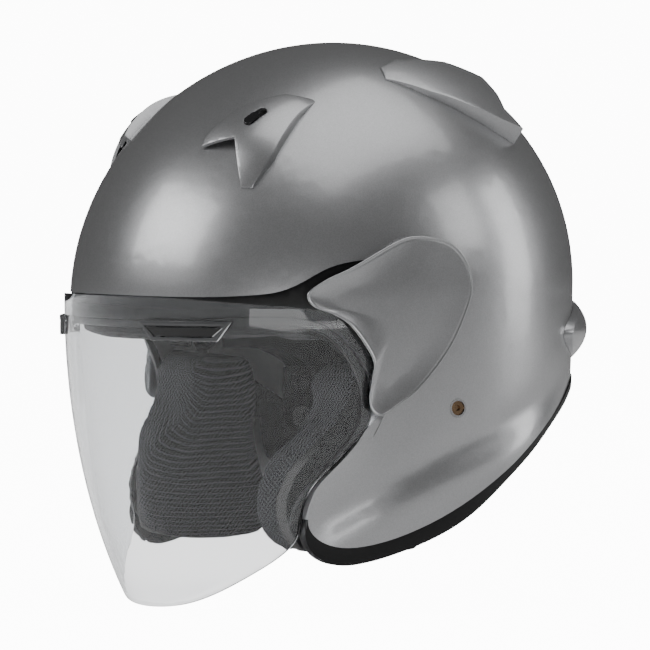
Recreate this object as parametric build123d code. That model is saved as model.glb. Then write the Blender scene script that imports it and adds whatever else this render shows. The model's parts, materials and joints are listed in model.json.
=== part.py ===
from build123d import *
import math
import os

# Open face motorcycle helmet with a full face shield, modelled as separate pieces.
# Millimetres, +Z up, in the attitude of a worn helmet. The front is -Y and the
# wearer's left is +X. The origin is the middle of the head, level with the ears.
# Every curved layer is a nested egg shape, and side views cut the layers to outline.

os.makedirs("parts", exist_ok=True)

# ---- driving dimensions -------------------------------------------------
SHELL_HALF_WIDTH = 122.0
SHELL_HALF_LENGTH = 140.0
SHELL_TOP = 135.0          # from the widest level up to the crown
SHELL_DROP = 350.0         # how slowly the sides draw in below that level
WIDEST_LEVEL = 15.0
LEAN = 0.05                # the crown leans back by this much of its height
SHELL_WALL = 5.0
FOAM_GAP = 0.3
FOAM_WALL = 25.0
LINING_WALL = 9.0
RECESS_DEPTH = 1.5         # step in the shell round the face opening
TRIM_GAP = 0.3
FLOOR = -172.0             # the egg shapes stop here, below everything

SHIELD_HALF_WIDTH = 125.2
SHIELD_HALF_LENGTH = 143.2
SHIELD_LEVEL = 10.0
SHIELD_DROP = 246.0
SHIELD_WALL = 2.0

POD_HALF_WIDTH = 127.5
POD_HALF_LENGTH = 205.0
POD_WALL = 1.6
POD_MIDDLE = (-22.0, 8.0)

PIVOT_Y = -12.0
PIVOT_Z = 16.0
HUB_RADIUS = 9.95          # fixed hub that the shield turns on
RING_BORE = 10.0
RING_RADIUS = 14.0
PLATE_RADIUS = 15.0
PLATE_X = (118.6, 120.7)
HUB_TOP_X = 124.2
RING_X = (122.0, 124.4)
WASHER_X = (120.9, 121.8)
SCREW_RADIUS = 2.5

RIVET_Y = 13.0
RIVET_Z = -43.0
CUP_RADIUS = 5.0
CUP_X = (117.2, 120.3)
ANCHOR_X = (107.2, 108.7)
STRAP_Y = 30.0
STRAP_WIDTH = 20.0
STRAP_THICK = 1.6
LOOP_X = 99.5
LOOP_Z = -76.5
RING_WIRE = 1.4

OUT = 170.0                # reach of a cutting prism beyond the helmet
nodes = {}


# ---- shared shapes ------------------------------------------------------
def egg(half_width, half_length, top, drop, level=WIDEST_LEVEL, lean=LEAN):
    """Solid egg: a half ellipsoid that leans back, on a slowly narrowing skirt."""
    plane = Plane(origin=(0, 0, level), x_dir=(0, 1, 0), z_dir=(1, 0, 0))
    crown = Edge.make_ellipse(half_width, top, plane, 0, 90)
    floor_depth = level - FLOOR
    angle = math.degrees(math.asin(floor_depth / drop))
    skirt = Edge.make_ellipse(half_width, drop, plane, -angle, 0)
    centre = (0, 0, level)
    rim = (0, half_width, level)
    peak = (0, 0, level + top)
    foot = (0, half_width * math.cos(math.radians(angle)), FLOOR)
    upper_half = Wire([crown, Edge.make_line(peak, centre), Edge.make_line(centre, rim)])
    lower_half = Wire([skirt, Edge.make_line(rim, centre), Edge.make_line(centre, (0, 0, FLOOR)),
                       Edge.make_line((0, 0, FLOOR), foot)])
    upper = revolve(Face(upper_half), Axis.Z, 360)
    lower = revolve(Face(lower_half), Axis.Z, 360)
    stretch = half_length / half_width
    upper = upper.transform_geometry(Matrix(
        [[1, 0, 0, 0], [0, stretch, lean, -lean * level], [0, 0, 1, 0]]))
    lower = lower.transform_geometry(Matrix(
        [[1, 0, 0, 0], [0, stretch, 0, 0], [0, 0, 1, 0]]))
    return upper.fuse(lower)


def shell_egg(offset=0.0):
    """The helmet's outer surface, moved out by offset."""
    return egg(SHELL_HALF_WIDTH + offset, SHELL_HALF_LENGTH + offset,
               SHELL_TOP + offset, SHELL_DROP)


def shield_egg(offset=0.0):
    """The face shield's outer surface, moved out by offset."""
    return egg(SHIELD_HALF_WIDTH + offset, SHIELD_HALF_LENGTH + offset,
               SHIELD_DROP, SHIELD_DROP, SHIELD_LEVEL, 0.0)


def pod_egg(offset=0.0):
    """The side pods' outer surface, flatter than the shell towards the front."""
    return egg(POD_HALF_WIDTH + offset, POD_HALF_LENGTH + offset, SHELL_TOP + 7, SHELL_DROP,
               WIDEST_LEVEL, 0.0)


def side_wire(curve, corners=()):
    """Closed outline in side view: a smooth run through curve, then straight corners."""
    points = [(0, y, z) for y, z in curve]
    edges = [Edge.make_spline([Vector(*p) for p in points])]
    chain = [points[-1]] + [(0, y, z) for y, z in corners] + [points[0]]
    for start, end in zip(chain, chain[1:]):
        edges.append(Edge.make_line(start, end))
    return Wire(edges)


def side_loop(curve):
    """Closed smooth outline in side view."""
    return Wire([Edge.make_spline([Vector(0, y, z) for y, z in curve], periodic=True)])


def drawn_in(point, middle, amount):
    """A side-view point moved by amount towards middle."""
    span = math.dist(point, middle)
    return tuple(a + (b - a) * amount / span for a, b in zip(point, middle))


def prism(wire, low_x, high_x):
    """Solid from low_x to high_x with a side-view outline."""
    face = Face(wire)
    solid = extrude(face, amount=high_x - low_x, dir=(1, 0, 0))
    return Pos(low_x, 0, 0) * solid


def rod(radius, low_x, high_x, y=PIVOT_Y, z=PIVOT_Z):
    """Cylinder along X."""
    base = Plane(origin=(low_x, y, z), z_dir=(1, 0, 0))
    return extrude(base * Circle(radius), amount=high_x - low_x)


def block(low, high):
    """Box between two corners."""
    size = [b - a for a, b in zip(low, high)]
    middle = [(a + b) / 2 for a, b in zip(low, high)]
    return Pos(*middle) * Box(*size)


def pair(name, left_solid):
    """A left piece and its mirror image on the right."""
    nodes[name + "_left"] = left_solid
    nodes[name + "_right"] = mirror(left_solid, Plane.YZ)


# ---- side-view outlines -------------------------------------------------
# Edge of the shell from the brow, round the side window, down the cheek,
# along the bottom and up to the nape.
brow_run = [(-150, 4.5), (-110, 5.0), (-82, 6.0), (-69, 4.5), (-59, 0.5), (-51, -6.5),
            (-44, -15), (-39, -24), (-36.5, -35), (-38, -50)]
cheek_run = [(-38, -50), (-43, -59), (-57, -76), (-62.5, -83), (-65.5, -91), (-66.5, -100),
             (-64.5, -107), (-59, -112), (-52, -114.5), (-35, -114), (-10, -107), (19, -94),
             (47, -77), (80, -55), (104, -40), (118, -32), (132, -29), (150, -28)]
shell_edge = brow_run[:-1] + cheek_run
below_shell = side_wire(shell_edge, [(OUT, -28), (OUT, -OUT - 40), (-OUT, -OUT - 40), (-OUT, 4.5)])

# Lower edge of the rubber trim, which is deeper at the cheek than at the nape.
trim_edge = [(-66.9, -103.9), (-66.5, -112), (-61, -120), (-52, -124.5), (-38, -124), (-16, -118),
             (2, -111.5), (25, -100), (49, -83), (73, -66), (89, -54), (104, -44.5),
             (118, -37), (132, -34), (150, -33)]

# Step in the shell round the face opening, under the shield's upper edge.
step_edge = [(-150, 16.5), (-125, 16.0), (-112, 16.0), (-96, 17.0), (-83, 19.0), (-72, 24.0),
             (-60, 31.0), (-45, 35.0), (-25, 36.0)]
step_corners = [(-18, 20), (-25, -35), (-36, -58), (-60, -60), (-OUT, -60), (-OUT, 16.5)]

pod_edge = [(-77.5, 18.5), (-67.8, 25.6), (-54, 31.7), (-27.6, 44.9), (-12.6, 47.9), (5.2, 44.6),
            (14.9, 35), (18, 21.9), (14.7, 8.8), (3.8, -11.9), (-13.9, -31.5), (-26.6, -40.2),
            (-36, -45.8), (-41.5, -43.5), (-43.2, -36.4), (-41.9, -25.8), (-42, -16),
            (-53.6, 0.5), (-63.7, 7.5), (-74.5, 11.8)]

shield_top = [(-150, 16.0), (-125, 15.0), (-112, 14.0), (-92.7, 12.3), (-75.7, 10.8), (-62, 9.0)]
shield_rear = [(-28, -36), (-35.5, -47), (-43.8, -57.5), (-58.2, -75), (-64, -83), (-67, -91),
               (-67.8, -105), (-68.5, -112), (-73, -119.5), (-84, -130.5), (-97, -143),
               (-104, -148.5), (-114, -152.5), (-128, -155)]


# ---- hard shell and foam ------------------------------------------------
def make_shell():
    """Shell cut to outline, with the step round the face and holes for its hardware."""
    solid = shell_egg() - shell_egg(-SHELL_WALL)
    solid -= prism(below_shell, -OUT, OUT)
    step = shell_egg(3.0) - shell_egg(-RECESS_DEPTH)
    solid -= step & prism(side_wire(step_edge, step_corners), -OUT, OUT)
    for side in (-1, 1):
        solid -= rod(PLATE_RADIUS + 0.2, side * PLATE_X[0], side * 135)
        solid -= rod(SCREW_RADIUS, side * 105, side * 135)
        solid -= rod(SCREW_RADIUS, side * 105, side * 135, RIVET_Y, RIVET_Z)
        solid -= rod(CUP_RADIUS + 0.05, side * CUP_X[0], side * 135, RIVET_Y, RIVET_Z)
    return solid


def make_foam():
    """Impact foam inside the shell: crown, sides down to the cheek pads, and nape."""
    outer = shell_egg(-SHELL_WALL - FOAM_GAP)
    inner = shell_egg(-SHELL_WALL - FOAM_GAP - FOAM_WALL)
    solid = outer - inner
    keep = [(-150, 9.0), (-90, 10.0), (-70, 8.0), (-52, -2.0), (-42, -12), (-20, -18), (20, -19),
            (40, -30), (50, -60), (60, -64), (80, -50), (104, -35), (125, -26), (150, -24)]
    solid -= prism(side_wire(keep, [(OUT, -24), (OUT, -OUT - 40), (-OUT, -OUT - 40), (-OUT, 9)]),
                   -OUT, OUT)
    for side in (-1, 1):
        solid -= rod(SCREW_RADIUS + 2.5, side * 98, side * 135)
    return solid


nodes["outer_shell"] = make_shell()
nodes["foam_liner"] = make_foam()

lining_outer = SHELL_WALL + FOAM_GAP + FOAM_WALL + FOAM_GAP
lining = shell_egg(-lining_outer) - shell_egg(-lining_outer - LINING_WALL)

crown_cut = [(-150, 30), (-60, 26), (-20, 12), (30, 2), (70, 2), (150, 6)]
nodes["crown_lining"] = lining - prism(
    side_wire(crown_cut, [(OUT, 6), (OUT, -OUT - 40), (-OUT, -OUT - 40), (-OUT, 30)]), -OUT, OUT)

band = shell_egg(-SHELL_WALL - FOAM_GAP - 0.2) - shell_egg(-lining_outer - LINING_WALL)
brow_outline = side_wire([(-150, 8.7), (-90, 9.6), (-70, 7.4), (-54, -2.5)],
                         [(-57, -10), (-70, -4.0), (-OUT, -6.5), (-OUT, 8.7)])
brow_lip = band & prism(brow_outline, -OUT, OUT)
brow_inner = lining & prism(
    side_wire([(-150, 29.4), (-60, 25.4)], [(-52, 22), (-56, 5), (-70, 7.5), (-OUT, 8.9), (-OUT, 29.4)]),
    -OUT, OUT)
nodes["brow_band"] = brow_lip.fuse(brow_inner)

nape = shell_egg(-lining_outer) - shell_egg(-lining_outer - 14)
nape_outline = side_wire([(52, 0), (95, 0), (150, 3.5)], [(OUT, 3.5), (OUT, -22), (100, -32), (60, -58),
                                                             (52, -58)])
nodes["neck_roll"] = nape & prism(nape_outline, -OUT, OUT)

# ---- cheek pads and their back plates -----------------------------------
pad_edge = [(-40, -20), (-47, -30), (-49, -41), (-54.5, -51), (-63, -60), (-70, -67), (-76, -78),
            (-79, -90), (-78, -101), (-74, -110), (-66, -117), (-52, -121), (-30, -122), (-10, -121),
            (3, -115), (6, -104), (2, -85), (-2, -60), (-2, -35), (-8, -21), (-24, -19.5)]
plate_outer = shell_egg(-SHELL_WALL - 0.6)
plate_inner = shell_egg(-SHELL_WALL - 2.6)
pad_prism = prism(side_loop(pad_edge), 60, OUT)
plate_edge = [(-34, -24), (-38, -45), (-52, -74), (-57, -92), (-54, -104), (-44, -108),
              (-20, -106), (-6, -98), (-8, -60), (-10, -26)]
cheek_plate = (plate_outer - plate_inner) & prism(side_loop(plate_edge), 60, OUT)
pad_body = shell_egg(-SHELL_WALL - 2.9) & pad_prism
pad_body -= egg(64, 300, 170, 330, WIDEST_LEVEL, 0.0)
pad_body -= extrude(Plane.XY.offset(-130) * make_face(Polyline(
    (104, -58), (66, -80), (52, -84), (52, -110), (125, -110), (125, -58), close=True)), amount=120)
pair("cheek_plate", cheek_plate)
pair("cheek_pad", pad_body)

# ---- rubber trims -------------------------------------------------------
window_inner = [(-150, 0.3), (-110, 0.5), (-82, 1.2), (-70, 0.0), (-60, -4.0), (-53, -10),
                (-47.5, -18), (-43.5, -26), (-41, -36), (-42.5, -50), (-48, -60), (-61, -78), (-66.5, -86),
                (-69.5, -94), (-70.5, -103.7)]
window_outer = [drawn_in(point, (-115, -60), TRIM_GAP) for point in shell_edge[:15]]


def strip_between(upper, lower):
    """Side-view outline between two smooth runs that go the same way."""
    return Wire([
        Edge.make_spline([Vector(0, y, z) for y, z in upper]),
        Edge.make_line((0, *upper[-1]), (0, *lower[-1])),
        Edge.make_spline([Vector(0, y, z) for y, z in reversed(lower)]),
        Edge.make_line((0, *lower[0]), (0, *upper[0]))])


TRIM_JOINT = -71.0     # the cheek trims take over below this level
window_strip = prism(strip_between(window_outer, window_inner), -OUT, OUT)
strip_below = window_strip - block((-OUT, -OUT, TRIM_JOINT - 0.2), (OUT, OUT, OUT))
strip_below -= block((-OUT, -OUT, -OUT), (0, OUT, OUT))
window_trim = (shell_egg(-RECESS_DEPTH - 0.9) & window_strip) - shell_egg(-SHELL_WALL - 0.4)
nodes["window_trim"] = window_trim - block((-OUT, -OUT, -OUT), (OUT, OUT, TRIM_JOINT))
cheek_trim = (shield_egg(-SHIELD_WALL - 0.4) & strip_below) - shield_egg(-SHIELD_WALL - 3.6)
pair("cheek_trim", cheek_trim)

bottom_upper = [drawn_in(point, (-30, -400), TRIM_GAP) for point in shell_edge[14:]]
bottom_strip = prism(strip_between(bottom_upper, trim_edge), -OUT, OUT)
nodes["bottom_trim"] = (shell_egg(0.8) & bottom_strip) - shell_egg(-SHELL_WALL - 0.4)

# ---- side pods ----------------------------------------------------------
pod_face = Face(side_loop(pod_edge))
pod_prism = Pos(90, 0, 0) * extrude(pod_face, amount=60, dir=(1, 0, 0))
core_edge = [drawn_in(point, POD_MIDDLE, 1.25 * POD_WALL) for point in pod_edge]
core_prism = prism(side_loop(core_edge), 90, 150)
open_front = side_wire([(-26, 60), (-24, 20), (-31, -22), (-28, -60)], [(-OUT, -60), (-OUT, 60)])
pod_core = pod_egg(-POD_WALL)
pod_shell = (pod_egg() & pod_prism) - shell_egg(0.15)
pod_shell -= pod_core & core_prism
pod_shell -= pod_core & prism(open_front, 60, OUT)
pair("side_pod", pod_shell)

# ---- shield pivots ------------------------------------------------------
hub = rod(PLATE_RADIUS, PLATE_X[0], PLATE_X[1]) + rod(HUB_RADIUS, PLATE_X[1], HUB_TOP_X)
hub -= rod(SCREW_RADIUS, 110, 130)
hub -= rod(4.6, HUB_TOP_X - 1.6, 130)
pair("pivot_base", hub)
screw = rod(SCREW_RADIUS, 108, HUB_TOP_X - 0.5) + rod(4.4, HUB_TOP_X - 1.6, HUB_TOP_X)
screw -= block((HUB_TOP_X - 0.8, PIVOT_Y - 5, PIVOT_Z - 0.5), (130, PIVOT_Y + 5, PIVOT_Z + 0.5))
pair("pivot_screw", screw)
washer = rod(RING_RADIUS - 0.4, *WASHER_X) - rod(HUB_RADIUS + 0.15, 115, 130)
pair("pivot_washer", washer)
pair("shield_ring", rod(RING_RADIUS, *RING_X) - rod(RING_BORE, 115, 130))

# ---- face shield --------------------------------------------------------
shield_wall = shield_egg() - shield_egg(-SHIELD_WALL)
arm = [(-62, 9.0), (-44, 15), (-30, 27), (-12, 32.5), (3.5, 23), (4.5, 10), (-6, -3), (-17, -16),
       (-23, -27), (-28, -36)]
shield_outline = Wire([
    Edge.make_spline([Vector(0, y, z) for y, z in shield_top]),
    Edge.make_spline([Vector(0, y, z) for y, z in arm]),
    Edge.make_spline([Vector(0, y, z) for y, z in shield_rear]),
    Edge.make_line((0, *shield_rear[-1]), (0, -OUT, -155)),
    Edge.make_line((0, -OUT, -155), (0, -OUT, 16)),
    Edge.make_line((0, -OUT, 16), (0, *shield_top[0]))])
shield = shield_wall & prism(shield_outline, -OUT, OUT)
for side in (-1, 1):
    shield -= rod(RING_RADIUS, side * 100, side * 140)

# ---- shield vents -------------------------------------------------------
VENT_X = 66.0
VENT_LEVEL = -1.5
vent_y = -SHIELD_HALF_LENGTH * math.sqrt(1 - (VENT_X / SHIELD_HALF_WIDTH) ** 2)
vent_normal = Vector(VENT_X / SHIELD_HALF_WIDTH ** 2, vent_y / SHIELD_HALF_LENGTH ** 2, 0).normalized()
vent_along = Vector(0, 0, 1).cross(vent_normal)
vent_plane = Plane(origin=(VENT_X, vent_y, VENT_LEVEL), x_dir=vent_along, z_dir=vent_normal)


def vent_prism(top_half, bottom_half, top, bottom, low=-9.0, high=9.0):
    """Trapezoid block that passes through the shield at a vent."""
    outline = Polyline((-top_half, top), (top_half, top), (bottom_half, bottom),
                       (-bottom_half, bottom), close=True)
    face = vent_plane * make_face(outline)
    return Pos(*(vent_normal * low)) * extrude(face, amount=high - low, dir=vent_normal)


vent_body = vent_prism(27, 19, 5.0, -5.5)
vent_hole = vent_prism(23.4, 17.0, 2.4, -3.6)
vent_frame = (shield_egg(2.6) - shield_egg(0.0)) & vent_body
vent_frame -= vent_hole
flap = (shield_egg(2.0) - shield_egg(0.9)) & vent_prism(21.9, 16.6, 1.5, -3.0)
slot = vent_prism(20.0, 14.0, 1.2, -2.4)
shield -= slot
shield -= mirror(slot, Plane.YZ)
nodes["face_shield"] = shield
pair("vent_frame", vent_frame)
pair("vent_flap", flap)


# ---- ducts on the shell -------------------------------------------------
def surface_plane(x, y, z):
    """Plane that touches the shell at a point of its crown, facing out."""
    lean_y = y - LEAN * (z - WIDEST_LEVEL)
    gy = lean_y / SHELL_HALF_LENGTH ** 2
    normal = Vector(x / SHELL_HALF_WIDTH ** 2, gy,
                    (z - WIDEST_LEVEL) / SHELL_TOP ** 2 - LEAN * gy).normalized()
    return Plane(origin=(x, y, z), x_dir=Vector(0, 0, 1).cross(normal), z_dir=normal)


def patch_prism(plane, points, reach=26.0, shrink=0.0):
    """Block standing on the shell whose outline runs through points in space."""
    flat = []
    for point in points:
        local = plane.to_local_coords(Vector(*point))
        flat.append((local.X, local.Y))
    face = make_face(Polyline(*flat, close=True))
    if shrink:
        face = offset(face, -shrink)
    solid = extrude(plane * face, amount=2 * reach, dir=plane.z_dir)
    return Pos(*(plane.z_dir * -reach)) * solid


duct_plane = surface_plane(62, -75, 101.5)
duct_edge = [(47, -101, 96), (61, -88, 98), (76, -94, 76), (80, -89, 75), (79, -75, 89),
             (72, -55, 112), (69, -44, 122), (59, -57, 123), (50, -80, 112.5), (45, -97, 100)]
duct_mouth = [(61, -110, 85), (40, -112, 92), (47, -96, 100), (56, -84, 107), (66, -80, 104), (84, -100, 70)]
DUCT_HEIGHT = 8.0
DUCT_DOME = 62.0
dome_centre = duct_plane.origin + duct_plane.z_dir * (DUCT_HEIGHT - DUCT_DOME)
duct_dome = Pos(*dome_centre) * Sphere(DUCT_DOME)
dome_core = Pos(*dome_centre) * Sphere(DUCT_DOME - 1.8)
duct = (patch_prism(duct_plane, duct_edge) & duct_dome) - shell_egg(0.05)
duct_core = (patch_prism(duct_plane, duct_edge, shrink=2.2) & dome_core) - shell_egg(-2)
duct -= duct_core
duct -= patch_prism(duct_plane, duct_mouth) & dome_core

# The slider's slot runs rearwards up the middle of the duct.
slot_out = (Vector(61.5, -75.5, 108) - dome_centre).normalized()
slot_run = Vector(1.5, 11, 9)
slot_plane = Plane(origin=dome_centre + slot_out * DUCT_DOME,
                   x_dir=slot_run - slot_out * slot_run.dot(slot_out), z_dir=slot_out)
SLIDE = 5.0
KNOB = (9.0, 5.0)
FLANGE = (13.0, 7.0)


def slot_bar(size, low, high, shift=0.0):
    """Round-ended bar across the duct's top wall, shifted along the slot."""
    face = slot_plane * (Pos(shift, 0, low) * SlotOverall(*size))
    return extrude(face, amount=high - low, dir=slot_out)


duct -= slot_bar((KNOB[0] + SLIDE + 0.8, KNOB[1] + 0.8), -4, 4)
slider = slot_bar(KNOB, -3.2, 0.9, -SLIDE / 2) + slot_bar(FLANGE, -3.9, -2.9, -SLIDE / 2)
pair("brow_duct", duct)
pair("duct_slider", slider)

diffuser_plane = surface_plane(65, 35, 122)
diffuser_edge = [(56, 4, 137), (66, 2, 132), (76, 22, 123), (81, 43, 113), (81, 60, 103),
                 (79, 74, 97), (73, 66, 108), (64, 67, 116), (52, 64, 124), (46, 44, 132), (49, 15, 138)]
DIFFUSER_RISE = 9.5        # degrees that its top rises rearwards
rise_axis = Axis((0, 4, 135), (1, 0, 0))
top_skin = shell_egg(1.2).rotate(rise_axis, DIFFUSER_RISE)
top_core = shell_egg(-0.8).rotate(rise_axis, DIFFUSER_RISE)
diffuser = (patch_prism(diffuser_plane, diffuser_edge, 30) & top_skin) - shell_egg(0.05)
tail_mouth = [(70, 45, 120), (66, 90, 102), (44, 90, 112), (49, 45, 130)]
diffuser_core = patch_prism(diffuser_plane, diffuser_edge, 30, 2.2) & top_core
diffuser -= diffuser_core.fuse(patch_prism(diffuser_plane, tail_mouth, 30) & top_core) - shell_egg(1.6)
pair("rear_diffuser", diffuser)

# The exhaust wraps round the nape: a flattened bulge, cut to a long oval seen from behind.
EXHAUST_REACH = (116.0, 141.0, 46.0)
EXHAUST_MIDDLE = (10.0, -5.0)
EXHAUST_OVAL = (84.0, 19.0)
EXHAUST_WALL = 2.5


def exhaust_bulge(inset=0.0):
    """Flattened ellipsoid round the nape, drawn in by inset."""
    wide, long, high = (reach - inset for reach in EXHAUST_REACH)
    return Sphere(1.0).transform_geometry(Matrix(
        [[wide, 0, 0, 0], [0, long, 0, EXHAUST_MIDDLE[0]], [0, 0, high, EXHAUST_MIDDLE[1]]]))


oval_plane = Plane(origin=(0, 60, EXHAUST_MIDDLE[1] - 2), x_dir=(1, 0, 0), z_dir=(0, 1, 0))
exhaust = exhaust_bulge() & extrude(oval_plane * Ellipse(*EXHAUST_OVAL), amount=110)
exhaust -= shell_egg(0.05)
exhaust -= exhaust_bulge(EXHAUST_WALL) & block((-50, 100, -40), (50, 160, -15))
nodes["neck_exhaust"] = exhaust

# ---- chin strap hardware ------------------------------------------------
cup = rod(CUP_RADIUS, *CUP_X, RIVET_Y, RIVET_Z) - rod(3.9, CUP_X[0] + 0.8, 130, RIVET_Y, RIVET_Z)
cup -= rod(SCREW_RADIUS, 110, 130, RIVET_Y, RIVET_Z)
rivet = rod(SCREW_RADIUS, ANCHOR_X[0] - 0.8, CUP_X[0] + 1.6, RIVET_Y, RIVET_Z)
rivet += rod(3.7, CUP_X[0] + 0.85, CUP_X[0] + 2.3, RIVET_Y, RIVET_Z)
rivet += rod(4.0, ANCHOR_X[1], 114.2, RIVET_Y, RIVET_Z)
rivet -= rod(1.6, CUP_X[0] + 1.3, 130, RIVET_Y, RIVET_Z)
pair("rivet_cup", cup)
pair("strap_rivet", rivet)
anchor_outline = Polyline((RIVET_Y - 6, RIVET_Z + 5), (RIVET_Y + 6, RIVET_Z + 6), (40, -50), (40, -58),
                          (19, -58), (RIVET_Y - 6, RIVET_Z - 5), close=True)
side_plane = Plane(origin=(ANCHOR_X[0], 0, 0), x_dir=(0, 1, 0), z_dir=(1, 0, 0))
anchor = extrude(side_plane * make_face(anchor_outline), amount=ANCHOR_X[1] - ANCHOR_X[0])
anchor -= rod(SCREW_RADIUS, 100, 120, RIVET_Y, RIVET_Z)
pair("strap_anchor", anchor)

strap_plane = Plane(origin=(0, STRAP_Y - STRAP_WIDTH / 2, 0), x_dir=(1, 0, 0), z_dir=(0, -1, 0))


def webbing(outline):
    """Strap webbing whose side profile, in X and Z, is outline."""
    return extrude(strap_plane * outline, amount=-STRAP_WIDTH)


leg_top = ANCHOR_X[0] - 0.05
leg = make_face(Polyline((leg_top - STRAP_THICK, -50), (leg_top, -50), (LOOP_X + 1.2, LOOP_Z + 4.6),
                         (LOOP_X - 0.4, LOOP_Z + 4.6), close=True))
loop = Pos(LOOP_X, LOOP_Z) * (Circle(5.2) - Circle(3.6))
nodes["strap_short"] = webbing(leg) + webbing(loop)

FOLD_X = 89.0
FOLD_Z = -70.0
FOLD_RADIUS = 11.0
long_leg = make_face(Polyline((leg_top - STRAP_THICK, -50), (leg_top, -50), (FOLD_X + 11.8, FOLD_Z),
                              (FOLD_X + 10.2, FOLD_Z), close=True))
fold = Pos(FOLD_X, FOLD_Z) * (Circle(FOLD_RADIUS + STRAP_THICK / 2) - Circle(FOLD_RADIUS - STRAP_THICK / 2))
fold &= Pos(FOLD_X, FOLD_Z - 10) * Rectangle(40, 20)
tail = Pos(FOLD_X - FOLD_RADIUS, (FOLD_Z - 28) / 2) * Rectangle(STRAP_THICK, -28 - FOLD_Z)
long_strap = webbing(long_leg) + webbing(fold) + webbing(tail)
nodes["strap_long"] = mirror(long_strap, Plane.YZ)
tail_face = FOLD_X - FOLD_RADIUS - STRAP_THICK / 2
nodes["snap_stud"] = mirror(rod(5.5, tail_face - 1.6, tail_face - 0.05, STRAP_Y, -36)
                            + rod(2.2, tail_face - 3.4, tail_face - 1.6, STRAP_Y, -36), Plane.YZ)
socket = rod(6.0, tail_face - 2.4, tail_face - 0.05, STRAP_Y, -56)
socket -= rod(2.5, tail_face - 4, tail_face - 0.8, STRAP_Y, -56)
nodes["snap_socket"] = mirror(socket, Plane.YZ)


def d_ring(x):
    """Bent wire ring with a straight bar at the top, in a plane of constant X."""
    ring_plane = Plane(origin=(x, STRAP_Y, LOOP_Z), x_dir=(0, 1, 0), z_dir=(1, 0, 0))
    path = ring_plane * FilletPolyline((14, 0), (10.5, -10.5), (-10.5, -10.5), (-14, 0),
                                       radius=2.6, close=True)
    start = Plane(origin=path @ 0, z_dir=path % 0)
    return sweep(start * Circle(RING_WIRE), path)


nodes["d_ring_outer"] = d_ring(LOOP_X + 1.75)
nodes["d_ring_inner"] = d_ring(LOOP_X - 1.75)

for name, solid in nodes.items():
    print(name, round(solid.volume / 1000, 2), "cc", len(solid.solids()), "solids", solid.is_valid)
    export_step(solid, f"parts/{name}.step")
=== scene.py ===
import json
import math

import bmesh
import bpy
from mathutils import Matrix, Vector


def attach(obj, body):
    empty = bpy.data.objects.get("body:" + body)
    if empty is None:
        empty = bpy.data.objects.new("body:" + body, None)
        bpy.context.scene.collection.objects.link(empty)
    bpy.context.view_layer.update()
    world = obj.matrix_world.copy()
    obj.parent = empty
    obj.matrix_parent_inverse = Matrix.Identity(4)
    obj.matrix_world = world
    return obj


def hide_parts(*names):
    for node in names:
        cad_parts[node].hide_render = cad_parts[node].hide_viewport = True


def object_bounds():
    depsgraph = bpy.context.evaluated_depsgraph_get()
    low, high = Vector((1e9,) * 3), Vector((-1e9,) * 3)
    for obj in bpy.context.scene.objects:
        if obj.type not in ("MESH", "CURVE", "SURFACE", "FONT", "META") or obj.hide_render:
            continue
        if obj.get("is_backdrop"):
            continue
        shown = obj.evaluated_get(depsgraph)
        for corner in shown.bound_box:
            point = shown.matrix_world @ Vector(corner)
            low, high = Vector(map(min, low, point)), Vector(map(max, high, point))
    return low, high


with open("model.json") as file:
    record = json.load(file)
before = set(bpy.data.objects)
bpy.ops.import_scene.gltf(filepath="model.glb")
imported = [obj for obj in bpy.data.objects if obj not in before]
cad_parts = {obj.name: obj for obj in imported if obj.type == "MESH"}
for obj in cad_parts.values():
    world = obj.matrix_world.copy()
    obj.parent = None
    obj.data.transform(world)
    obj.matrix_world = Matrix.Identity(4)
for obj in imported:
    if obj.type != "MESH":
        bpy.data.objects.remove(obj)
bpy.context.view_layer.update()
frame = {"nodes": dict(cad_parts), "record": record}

bl_info = {
    "name": "Open Face Helmet",
    "version": (1, 0, 0),
    "blender": (4, 5, 0),
    "location": "View3D > Sidebar > Helmet",
    "description": "Looks of an open face helmet with a swing-up shield, built round its packed frame",
    "category": "Object",
}

# Lengths here are metres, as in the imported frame. +Z is up and -Y is the front.
MM = 0.001

# ---- the egg shapes that every layer follows ----------------------------
# Half width, half length, height above the widest level, drop below it, that level, lean of the top.
WIDEST_LEVEL = 0.015
SHELL = (0.122, 0.140, 0.135, 0.350, WIDEST_LEVEL, 0.05)
POD = (0.1275, 0.205, 0.142, 0.350, WIDEST_LEVEL, 0.0)


def egg_side(shape, y, z, offset=0.0):
    """X of an egg's left surface at a side-view place."""
    half_width, half_length, top, drop, level, lean = shape
    height = top + offset if z > level else drop
    shift = lean * (z - level) if z > level else 0.0
    across = 1.0 - ((z - level) / height) ** 2 - ((y - shift) / (half_length + offset)) ** 2
    return (half_width + offset) * math.sqrt(max(across, 0.0))


def egg_normal(shape, point):
    """Outward direction of an egg's surface near a point."""
    half_width, half_length, top, drop, level, lean = shape
    above = point.z > level
    height = top if above else drop
    shift = lean * (point.z - level) if above else 0.0
    slope_y = (point.y - shift) / half_length ** 2
    slope_z = (point.z - level) / height ** 2 - (lean * slope_y if above else 0.0)
    return Vector((point.x / half_width ** 2, slope_y, slope_z)).normalized()


def egg_gap(shape, point):
    """Distance of a point outside an egg's surface; negative inside it."""
    half_width, half_length, top, drop, level, lean = shape
    height = top if point.z > level else drop
    shift = lean * (point.z - level) if point.z > level else 0.0
    across = point.x / half_width
    along = (point.y - shift) / half_length
    rise = (point.z - level) / height
    slope = math.sqrt((across / half_width) ** 2 + (along / half_length) ** 2 + (rise / height) ** 2)
    return (across ** 2 + along ** 2 + rise ** 2 - 1.0) / (2.0 * slope)


def smooth_step(low, high, value):
    """0 below low, 1 above high, eased between."""
    t = min(max((value - low) / (high - low), 0.0), 1.0)
    return t * t * (3.0 - 2.0 * t)


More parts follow.
